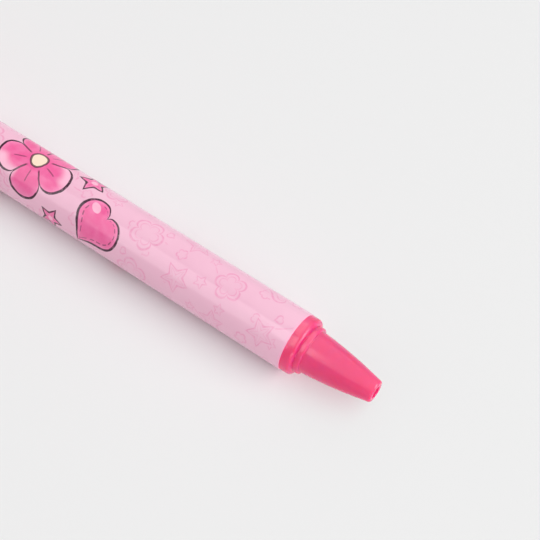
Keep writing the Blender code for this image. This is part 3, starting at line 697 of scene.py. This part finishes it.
nose_outline = eased([
    (HOLE_BEVEL_REAR, NIB_HOLE, 0.02),
    (0.0, NIB_HOLE + HOLE_BEVEL, 0.03),
    (0.0, TIP_RADIUS, 0.42),
    *[snout_point(share) for share in np.linspace(0, 1, SNOUT_STEPS)[1:-1]],
    (BEAD_FRONT, SNOUT_REAR_RADIUS, 0.06),
    (BEAD_FRONT + BEAD_DRAFT, BEAD_RADIUS, 0.43),
    (BEAD_REAR, BEAD_RADIUS, 0.20),
    (BEAD_REAR + GROOVE_DRAFT, GROOVE_RADIUS, 0.12),
    (FLANGE_FRONT, GROOVE_RADIUS, 0.10),
    (FLANGE_FRONT + FLANGE_DRAFT, FLANGE_RADIUS, 0.75),
    (NOSE_REAR, FLANGE_RADIUS, 0.03),
    (NOSE_REAR, SPIGOT_RADIUS, 0.06),
    *straight(SPIGOT_RADIUS, THREAD_FRONT, THREAD_REAR, THREAD_STEPS),
    (SPIGOT_REAR, SPIGOT_RADIUS, 0.5),
    (SPIGOT_REAR, SPIGOT_BORE, 0.15),
    (NOSE_REAR, SPIGOT_BORE),
    (FLANGE_FRONT, SPRING_BORE),
    (SPRING_SEAT, SPRING_BORE),
    (SPRING_SEAT, GUIDE_BORE),
    (GUIDE_FRONT, GUIDE_BORE),
    (NIB_HOLE_REAR, NIB_HOLE),
])
nose_mesh = turned("nose_shell", nose_outline, swell=thread)
nose = piece("nose_shell", nose_mesh, "nose_cone", HOT_PINK, "nose_cone")
# The nose tints the floor only in its shadow, by the key light below, and not by a bounce all round it
nose.visible_diffuse = False

# Rear cap: a round collar that runs up into the pad for the clip
CAP_PLUG_FRONT, CAP_REAR = ends("clip_cap")
CAP_FRONT = round(BARREL_REAR + GAP, 2)
CAP_SHOULDER = BUTTON_FRONT
CAP_CAVITY = 3.7
CAP_ROUND = 1.5
BUTTON_GUIDE = 3.05
PLUG_BEVEL = 0.15
# Points of the edges at the cap's front and round the button: depth along the pen, and step from the radius
CAP_FRONT_EDGE = ((0.0, 0.2), (0.02, 0.1), (0.1, 0.02))
GUIDE_EDGE = ((0.0, 0.2), (0.03, 0.06), (0.15, 0.0))
CLIP_TONGUE = 5.0
PAD_FRONT = round(ends("pocket_clip")[1] - CLIP_TONGUE, 2)
PAD_REAR = 128.74
PAD_SLOPE = 3.0
PAD_HALF = 3.2
PAD_TOP = 9.46
PAD_CORNER = 0.55
PAD_EDGE = 0.5
# How deep the pad's slope ends in the collar, and over what length pad and collar blend
PAD_FOOT = 0.3
PAD_BLEND = 0.45
# The pad lies within this turn in radians to either side of the top, where the points are closer
PAD_TURN = 0.78
PAD_POINTS = 110
COLLAR_POINTS = 90
# Range in which the cap's outline is sought, from so far inside the collar, and the number of halvings
OUTLINE_INSIDE = 0.6
OUTLINE_LIMIT = 12.0
HALVINGS = 36
CLIP_UNDER = 7.1
CLIP_OVER = 8.6
POCKET_HALF = 2.45
POCKET_ROOM = 0.47
POCKET_MOUTH = 0.4
cap_turns = np.concatenate([
    np.linspace(-PAD_TURN, PAD_TURN, PAD_POINTS, endpoint=False),
    np.linspace(PAD_TURN, 2 * math.pi - PAD_TURN, COLLAR_POINTS, endpoint=False),
])


def pad_height(station):
    """Height of the pad's top above the axis along the cap, none off the pad."""
    if station < PAD_FRONT or station > PAD_REAR:
        return 0.0
    slope_front = PAD_REAR - PAD_SLOPE
    if station > slope_front:
        along = (station - slope_front) / PAD_SLOPE
        foot = BARREL_RADIUS - PAD_FOOT
        return foot + (PAD_TOP - foot) * math.sqrt(max(0.0, 1 - along * along))
    rise = min(station - PAD_FRONT, PAD_EDGE) / PAD_EDGE
    return PAD_TOP - PAD_EDGE * (1 - math.sqrt(max(0.0, 1 - (1 - rise) ** 2)))


def pad_distance(across, up, top):
    """Signed distance to the pad's rounded block, which reaches from the axis to its top."""
    dx = np.abs(across) - (PAD_HALF - PAD_CORNER)
    dz = np.abs(up - top / 2) - (top / 2 - PAD_CORNER)
    outside = np.hypot(np.maximum(dx, 0), np.maximum(dz, 0))
    return outside + np.minimum(np.maximum(dx, dz), 0) - PAD_CORNER


def cap_ring(station):
    """The cap's outline at a station: a circle with the pad's block blended into it."""
    top = pad_height(station)
    sine = np.sin(cap_turns)
    cosine = np.cos(cap_turns)
    low = np.full(len(cap_turns), BARREL_RADIUS - OUTLINE_INSIDE)
    high = np.full(len(cap_turns), OUTLINE_LIMIT)
    for _ in range(HALVINGS):
        middle = (low + high) / 2
        shape = middle - BARREL_RADIUS
        if top > 0:
            block = pad_distance(middle * sine, middle * cosine, top)
            share = np.clip(0.5 + 0.5 * (block - shape) / PAD_BLEND, 0, 1)
            shape = block * (1 - share) + shape * share - PAD_BLEND * share * (1 - share)
        low = np.where(shape < 0, middle, low)
        high = np.where(shape < 0, high, middle)
    return [place(station, r * s, r * c) for r, s, c in zip(low, sine, cosine)]


def circle_ring(station, radius):
    """A circle with as many points as the cap's outline."""
    return [place(station, radius * math.sin(t), radius * math.cos(t)) for t in cap_turns]


front_edge = [(CAP_FRONT + deep, BARREL_RADIUS - step) for deep, step in CAP_FRONT_EDGE]
# Rings of the collar: before the pad, up its front edge, along its top, down its slope and past it
collar_stations = (
    *np.linspace(CAP_FRONT + 0.2, PAD_FRONT - 0.04, 4),
    PAD_FRONT,
    *(PAD_FRONT + PAD_EDGE * (1 - math.cos(a)) for a in np.linspace(0.02, QUARTER, 10)),
    *np.linspace(PAD_FRONT + 1.0, PAD_REAR - PAD_SLOPE, 9),
    *(PAD_REAR - PAD_SLOPE + PAD_SLOPE * math.sin(a) for a in np.linspace(0.12, QUARTER, 16)),
    PAD_REAR + 0.06,
    CAP_REAR - CAP_ROUND - 0.3,
)
rear_round = [
    (CAP_REAR - CAP_ROUND + CAP_ROUND * math.sin(a), BARREL_RADIUS - CAP_ROUND + CAP_ROUND * math.cos(a))
    for a in np.linspace(0, QUARTER, 10)
]
cap_inside = (
    *((CAP_REAR - deep, BUTTON_GUIDE + step) for deep, step in GUIDE_EDGE),
    (CAP_SHOULDER, BUTTON_GUIDE),
    (CAP_SHOULDER, CAP_CAVITY),
    (CAP_PLUG_FRONT, CAP_CAVITY),
    (CAP_PLUG_FRONT, SPIGOT_RADIUS - PLUG_BEVEL),
    (CAP_PLUG_FRONT + PLUG_BEVEL, SPIGOT_RADIUS),
    (CAP_FRONT, SPIGOT_RADIUS),
)
cap_rings = [
    *(circle_ring(*point) for point in front_edge),
    *(cap_ring(station) for station in collar_stations),
    *(circle_ring(*point) for point in rear_round),
    *(circle_ring(*point) for point in cap_inside),
]
pocket_low = CLIP_UNDER - POCKET_ROOM
pocket_high = CLIP_OVER + GAP
pocket_corners = (
    (-POCKET_HALF, pocket_low),
    (-POCKET_HALF, pocket_high),
    (POCKET_HALF, pocket_high),
    (POCKET_HALF, pocket_low),
)
pocket = [
    [place(station, y, z) for y, z in pocket_corners]
    for station in (PAD_FRONT - POCKET_MOUTH, PAD_FRONT + (CLIP_TONGUE + GAP))
]
cap_mesh = cut(lofted("cap_shell", cap_rings), lofted("clip_pocket", pocket, shut=True))
piece("cap_shell", cap_mesh, "barrel", HOT_PINK, "clip_cap")

# Pocket clip: a tongue in the pocket, a tapering arm with a crowned top and a nub under its round end
CLIP_ARM = 31.0
CLIP_ROOT_HALF = 2.3
CLIP_END_HALF = 1.9
CLIP_END_DROP = 0.4
CLIP_EDGE = 0.42
CLIP_EDGE_STEPS = 7
CLIP_CROWN = 0.14
NUB_AT = 27.4
NUB_HALF = 2.5
NUB_DEPTH = 1.3
TAPER_END = CLIP_ARM - CLIP_END_HALF
# The section's corners: on the right, on top, and the angle in degrees at which each corner's arc starts
CLIP_CORNERS = ((True, True, 90), (True, False, 0), (False, False, -90), (False, True, -180))


def clip_ring(along):
    """The clip's rounded section at a distance from the pocket's mouth."""
    share = min(max(along / TAPER_END, 0.0), 1.0)
    half = CLIP_ROOT_HALF + (CLIP_END_HALF - CLIP_ROOT_HALF) * share
    top = CLIP_OVER
    if along > TAPER_END:
        past = min((along - TAPER_END) / CLIP_END_HALF, 0.9995)
        half = CLIP_END_HALF * math.sqrt(1 - past * past)
        top -= CLIP_END_DROP * past ** 3
    off = min(abs(along - NUB_AT) / NUB_HALF, 1.0)
    low = CLIP_UNDER - NUB_DEPTH * 0.5 * (1 + math.cos(math.pi * off))
    soft = min(CLIP_EDGE, half * 0.7)
    ring = []
    for right, upper, start in CLIP_CORNERS:
        middle_x = half - soft if right else soft - half
        middle_z = top - soft if upper else low + soft
        for a in np.radians(np.linspace(start, start - 90, CLIP_EDGE_STEPS)):
            x = middle_x + soft * math.cos(a)
            z = middle_z + soft * math.sin(a)
            crown = CLIP_CROWN * (x / max(half, 0.1)) ** 2 if z > top - soft else 0.0
            ring.append(place(PAD_FRONT - along, x, z - crown))
    return ring


# Rings of the clip: the tongue's end, tongue and arm, the nub and the round end
clip_places = [
    -CLIP_TONGUE,
    -CLIP_TONGUE + 0.02,
    *np.linspace(-CLIP_TONGUE + 0.3, NUB_AT - NUB_HALF, 40),
    *np.linspace(NUB_AT - NUB_HALF, TAPER_END, 20)[1:],
    *(TAPER_END + CLIP_END_HALF * math.sin(a) for a in np.linspace(0, QUARTER, 22)[1:]),
]
clip_mesh = lofted("clip_arm", [clip_ring(p) for p in clip_places], shut=True)
piece("clip_arm", clip_mesh, "pocket_clip", HOT_PINK, "pocket_clip")

# Push button
BUTTON_RADIUS = 2.9
BUTTON_BORE = 1.8
BUTTON_BORE_DEPTH = 9.0
button_outline = eased([
    (BUTTON_FRONT, BUTTON_BORE, 0.1),
    (BUTTON_FRONT, BUTTON_RADIUS, 0.16),
    *straight(BUTTON_RADIUS, BUTTON_FRONT + 1, BUTTON_END - 2, 6),
    (BUTTON_END, BUTTON_RADIUS, 1.0),
    (BUTTON_END, 0.0),
    (BUTTON_FRONT + BUTTON_BORE_DEPTH, 0.0),
    (BUTTON_FRONT + BUTTON_BORE_DEPTH, BUTTON_BORE, 0.1),
])
button_mesh = turned("button_cup", button_outline)
piece("button_cup", button_mesh, "push_button", HOT_PINK, "push_button")

# Nib, with a socket for the ball
BALL_FRONT, BALL_REAR = ends("writing_ball")
BALL_AT = round((BALL_FRONT + BALL_REAR) / 2, 2)
BALL_RADIUS = round((BALL_REAR - BALL_FRONT) / 2, 2)
SOCKET = 0.39
SOCKET_STEPS = 14
NIB_FRONT, NIB_REAR = ends("nib")
NIB_RADIUS = 1.15
NIB_BORE = 0.22
NIB_CONE = 2.4
NIB_COLLAR = 0.35
NIB_COLLAR_RADIUS = 0.62
NIB_LIP_RADIUS = 0.45
lip_turn = math.pi - math.acos((BALL_AT - NIB_FRONT) / SOCKET)
back_turn = math.asin(NIB_BORE / SOCKET)
socket_turns = np.linspace(lip_turn, back_turn, SOCKET_STEPS)
nib_outline = [
    *((BALL_AT + SOCKET * math.cos(a), SOCKET * math.sin(a)) for a in socket_turns),
    *eased([
        (NIB_REAR, NIB_BORE),
        (NIB_REAR, NIB_RADIUS, 0.15),
        (NIB_FRONT + NIB_CONE, NIB_RADIUS, 0.25),
        (NIB_FRONT + NIB_COLLAR, NIB_COLLAR_RADIUS, 0.1),
        (NIB_FRONT, NIB_LIP_RADIUS),
    ]),
]
nib_mesh = turned("nib_point", nib_outline, REFILL_SIDES)
piece("nib_point", nib_mesh, "refill", NIB_METAL, "nib")

# Writing ball, whose outline runs back along the axis
BALL_STEPS = 25
ball_turns = np.linspace(0, math.pi, BALL_STEPS)
ball_outline = [
    *((BALL_AT - BALL_RADIUS * math.cos(a), BALL_RADIUS * math.sin(a)) for a in ball_turns),
    (BALL_AT + 0.1, 0.0),
    (BALL_AT - 0.1, 0.0),
]
ball_mesh = turned("ball", ball_outline, BALL_SIDES)
piece("ball", ball_mesh, "writing_ball", BALL_METAL, "writing_ball")

# Nib holder, whose plug sits in the refill tube
HOLDER_FRONT, HOLDER_REAR = ends("nib_holder")
HOLDER_RADIUS = 1.7
HOLDER_BORE = 1.25
HOLDER_SHOULDER = 24.24
HOLDER_COLLAR = 1.6
INK_CHANNEL = 0.6
TUBE_RADIUS = 2.35
TUBE_BORE = 1.75
PLUG_RADIUS = 1.65
holder_outline = eased([
    (HOLDER_FRONT, HOLDER_BORE, 0.1),
    (HOLDER_FRONT, HOLDER_RADIUS, 0.15),
    (HOLDER_SHOULDER, HOLDER_RADIUS, 0.08),
    (HOLDER_SHOULDER, TUBE_RADIUS, 0.15),
    (HOLDER_SHOULDER + HOLDER_COLLAR, TUBE_RADIUS, 0.1),
    (HOLDER_SHOULDER + HOLDER_COLLAR, PLUG_RADIUS, 0.05),
    (HOLDER_REAR, PLUG_RADIUS, 0.15),
    (HOLDER_REAR, INK_CHANNEL, 0.1),
    (NIB_REAR + GAP, INK_CHANNEL),
    (NIB_REAR + GAP, HOLDER_BORE),
])
holder_mesh = turned("holder", holder_outline, REFILL_SIDES)
piece("holder", holder_mesh, "refill", WHITE, "nib_holder")

# Refill tube
TUBE_FRONT, TUBE_REAR = ends("refill_tube")
TUBE_STEPS = 12
tube_outline = eased([
    (TUBE_FRONT, TUBE_BORE),
    (TUBE_FRONT, TUBE_RADIUS, 0.08),
    *straight(TUBE_RADIUS, TUBE_FRONT, TUBE_REAR, TUBE_STEPS)[1:-1],
    (TUBE_REAR, TUBE_RADIUS, 0.08),
    (TUBE_REAR, TUBE_BORE),
    *straight(TUBE_BORE, TUBE_REAR, TUBE_FRONT, TUBE_STEPS)[1:-1],
])
tube_mesh = turned("tube", tube_outline, REFILL_SIDES)
piece("tube", tube_mesh, "refill", TUBE, "refill_tube")

# Ink and the grease behind it, both hollow at the rear
INK_FRONT, INK_REAR = ends("ink_column")
INK_RADIUS = 1.45
INK_HOLLOW = 0.25
INK_STEPS = 8
GREASE_FRONT, GREASE_REAR = ends("ink_follower")
GREASE_HOLLOW = 0.2
ink_outline = eased([
    (INK_FRONT, 0.0),
    (INK_FRONT, INK_RADIUS, 0.2),
    *straight(INK_RADIUS, INK_FRONT, INK_REAR, INK_STEPS)[1:-1],
    (INK_REAR, INK_RADIUS, 0.3),
    (INK_REAR - INK_HOLLOW, 0.0),
])
piece("ink_body", turned("ink_body", ink_outline, INK_SIDES), "refill", INK, "ink_column")
grease_outline = eased([
    (GREASE_FRONT, 0.0),
    (GREASE_FRONT, INK_RADIUS, 0.2),
    (GREASE_REAR, INK_RADIUS, 0.4),
    (GREASE_REAR - GREASE_HOLLOW, 0.0),
])
grease_mesh = turned("grease_plug", grease_outline, INK_SIDES)
piece("grease_plug", grease_mesh, "refill", GREASE, "ink_follower")

# Tail plug
TAIL_FRONT, TAIL_REAR = ends("tail_plug")
VENT = 0.45
tail_outline = eased([
    (TAIL_FRONT, VENT, 0.1),
    (TAIL_FRONT, PLUG_RADIUS, 0.3),
    (TUBE_REAR + GAP, PLUG_RADIUS, 0.05),
    (TUBE_REAR + GAP, TUBE_RADIUS, 0.12),
    (TAIL_REAR, TUBE_RADIUS, 0.25),
    (TAIL_REAR, VENT, 0.12),
])
tail_mesh = turned("tail", tail_outline, REFILL_SIDES)
piece("tail", tail_mesh, "refill", WHITE, "tail_plug")

# Return spring: round wire, with closer coils at both ends
WIRE = 0.36
WIRE_SIDES = 12
SPRING_FRONT = ends("return_spring")[0]
SPRING_LENGTH = 16.0
SPRING_TURNS = 9.0
SPRING_RADIUS = 2.16
STEPS_PER_TURN = 36
END_PITCH = 0.95
open_pitch = (SPRING_LENGTH - WIRE - 2 * END_PITCH) / (SPRING_TURNS - 2)
wire_turns = np.linspace(0, 2 * math.pi, WIRE_SIDES, endpoint=False)


def spring_ring(wound):
    """The wire's section after so many turns."""
    rise = END_PITCH * min(wound, 1.0)
    rise += open_pitch * min(max(wound - 1.0, 0.0), SPRING_TURNS - 2.0)
    rise += END_PITCH * max(wound - SPRING_TURNS + 1.0, 0.0)
    swing = 2 * math.pi * wound
    ring = []
    for w in wire_turns:
        out = SPRING_RADIUS + WIRE / 2 * math.cos(w)
        station = SPRING_FRONT + WIRE / 2 + rise + WIRE / 2 * math.sin(w)
        ring.append(place(station, out * math.cos(swing), out * math.sin(swing)))
    return ring


spring_steps = np.linspace(0, SPRING_TURNS, int(SPRING_TURNS * STEPS_PER_TURN) + 1)
spring_mesh = lofted("spring_coil", [spring_ring(wound) for wound in spring_steps], shut=True)
spring = piece("spring_coil", spring_mesh, "return_spring", SPRING_METAL, "return_spring")
place(SPRING_FRONT)
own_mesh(spring)

# Click mechanism
for node in ("plunger", "rotor_cam", "cam_sleeve"):
    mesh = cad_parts[node].data
    mesh.materials.clear()
    mesh.materials.append(WHITE)

# Camera
AZIMUTH = math.radians(35.47)
ELEVATION = math.radians(59.55)
CAMERA_AT = (0.1076, -0.0822, 0.1959)
FOCAL_PIXELS = 1258.0
FRAME_PIXELS = 540
lens = bpy.data.cameras.new("camera")
lens.sensor_width = 36.0
lens.lens = FOCAL_PIXELS / FRAME_PIXELS * lens.sensor_width
lens.clip_start = 0.01
lens.clip_end = 20.0
camera = bpy.data.objects.new("camera", lens)
back = Vector((
    math.sin(AZIMUTH) * math.cos(ELEVATION),
    -math.cos(AZIMUTH) * math.cos(ELEVATION),
    math.sin(ELEVATION),
))
camera.location = CAMERA_AT
camera.rotation_euler = (-back).to_track_quat("-Z", "Y").to_euler()
bpy.context.scene.collection.objects.link(camera)
bpy.context.scene.camera = camera

# Floor, which fades into the backdrop; lengths in metres
FLOOR_DARK = (0.858, 0.858, 0.858)
FLOOR_LIGHT = (0.862, 0.862, 0.862)
FLOOR_TONE_LENGTH = 60.0
FLOOR_HALF = 1.2
FADE_START = 0.25
FADE_END = 0.7
floor_paint = Paint("floor_paper", Roughness=0.9, Specular_IOR_Level=0.0)
floor_paint.colour(floor_paint.mix(floor_paint.noise(FLOOR_TONE_LENGTH, COARSE), FLOOR_DARK, FLOOR_LIGHT))
away = polar(floor_paint.x, floor_paint.y)[0].between(FADE_START, FADE_END)
fade = floor_paint.node("ShaderNodeMixShader")
floor_paint.link(away.socket, fade.inputs[0])
floor_paint.link(floor_paint.shader.outputs[0], fade.inputs[1])
floor_paint.link(floor_paint.node("ShaderNodeBsdfTransparent").outputs[0], fade.inputs[2])
floor_paint.link(fade.outputs[0], floor_paint.tree.nodes["Material Output"].inputs["Surface"])
floor_corners = [(FLOOR_HALF * x, FLOOR_HALF * y, 0.0) for x, y in ((-1, -1), (1, -1), (1, 1), (-1, 1))]
floor_mesh = bpy.data.meshes.new("floor")
floor_mesh.from_pydata(floor_corners, [], [(0, 1, 2, 3)])
floor_mesh.materials.append(floor_paint.material)
floor = bpy.data.objects.new("floor", floor_mesh)
bpy.context.scene.collection.objects.link(floor)

# Lamps; distances and sizes in metres
LAMPS_FACE = Vector((0.03, 0.0, 0.005))
# Direction, distance, size and radiance of the key light
KEY = ((0.62, 0.11, 0.777), 3.6, (4.4, 4.4), 2.3)
# The nose lets pink light through: these shares of the key light's red, green and blue cast no shadow of
# it and of what it holds
NOSE_PASSES = (0.68, 0.30, 0.40)
NOSE_PIECES = ("nose_shell", "nib_point", "ball", "holder", "spring_coil")
# Panels that light the pen and aren't reflected in it: name, direction, distance, size and radiance
UNSEEN = (
    ("side_softbox", (0.82, -0.56, 0.09), 0.7, (1.3, 0.22), 1.7),
    ("back_softbox", (0.0, 0.766, 0.643), 3.0, (2.0, 2.0), 1.1),
)
# Panels that only show as reflections on the pen: as above, and the pieces that don't show them
REFLECTED = (
    ("end_softbox", (0.76, 0.355, 0.545), 0.7, (0.71, 0.51), 4.5, ("nib_point", "ball")),
    ("front_softbox", (0.74, -0.27, 0.616), 0.7, (0.55, 0.4), 1.6, ()),
    ("edge_softbox", (0.42, -0.88, 0.22), 0.7, (0.16, 0.24), 3.5, ("cap_shell", "button_cup")),
    ("band_softbox", (-0.459, -0.501, 0.733), 0.61, (0.273, 0.62), 1.9, ()),
    ("patch_softbox", (-0.123, -0.422, 0.898), 0.617, (0.147, 0.436), 2.9, ()),
    ("top_softbox", (0.16, 0.24, 0.957), 0.8, (0.48, 2.6), 0.9, ()),
    ("rear_softbox", (-0.30, 0.675, 0.675), 0.8, (0.33, 1.04), 0.5, ()),
    ("flange_softbox", (-0.275, 0.50, 0.82), 0.8, (0.24, 1.0), 1.7, ("barrel_shell",)),
)


def left_out(name, things):
    """A collection that keeps things out of a lamp's light or out of its shadows."""
    group = bpy.data.collections.new(name)
    for thing in things:
        group.objects.link(bpy.data.objects[thing])
    for entry in group.collection_objects:
        entry.light_linking.link_state = "EXCLUDE"
    return group


def softbox(
    name, towards, distance, size, radiance, tint=(1, 1, 1), diffuse=True, shine=True, spares=(), passes=()
):
    """A soft panel, level along its width, that faces the pen's nose from a direction.

    It doesn't light the things that it spares, and those that it passes cast no shadow of it.
    """
    lamp = bpy.data.lights.new(name, "AREA")
    lamp.shape = "RECTANGLE"
    lamp.size, lamp.size_y = size
    lamp.energy = radiance * math.pi * lamp.size * lamp.size_y
    lamp.color = tint
    panel = bpy.data.objects.new(name, lamp)
    panel.visible_diffuse = diffuse
    panel.visible_glossy = shine
    out = Vector(towards).normalized()
    panel.location = LAMPS_FACE + out * distance
    across = Vector((1.0, 0.0, 0.0))
    across = (across - out * across.dot(out)).normalized()
    panel.rotation_euler = Matrix((across, out.cross(across), out)).transposed().to_euler()
    bpy.context.scene.collection.objects.link(panel)
    if spares:
        panel.light_linking.receiver_collection = left_out(name + "_spares", spares)
    if passes:
        panel.light_linking.blocker_collection = left_out(name + "_passes", passes)


softbox("key_softbox", *KEY, [1 - share for share in NOSE_PASSES], shine=False)
softbox("glow_softbox", *KEY, NOSE_PASSES, shine=False, passes=NOSE_PIECES)
for panel in UNSEEN:
    softbox(*panel, spares=("floor",), shine=False)
for *panel, spared in REFLECTED:
    softbox(*panel, spares=("floor", *spared), diffuse=False)

# World: a weak fill light that looks like the pale backdrop
FILL = 0.42
BACKDROP = 0.863
world = bpy.data.worlds.new("studio")
world.use_nodes = True
bpy.context.scene.world = world
nodes = world.node_tree.nodes
path = nodes.new("ShaderNodeLightPath")
seen = Field(path.outputs["Is Camera Ray"]).most(Field(path.outputs["Is Glossy Ray"]))
seen = seen.most(Field(path.outputs["Is Transmission Ray"]))
strength = seen.between(0.0, 1.0, FILL, BACKDROP, smooth=False)
world.node_tree.links.new(strength.socket, nodes["Background"].inputs["Strength"])
nodes["Background"].inputs["Color"].default_value = (1.0, 1.0, 1.0, 1.0)

bpy.context.scene.view_settings.view_transform = "Standard"
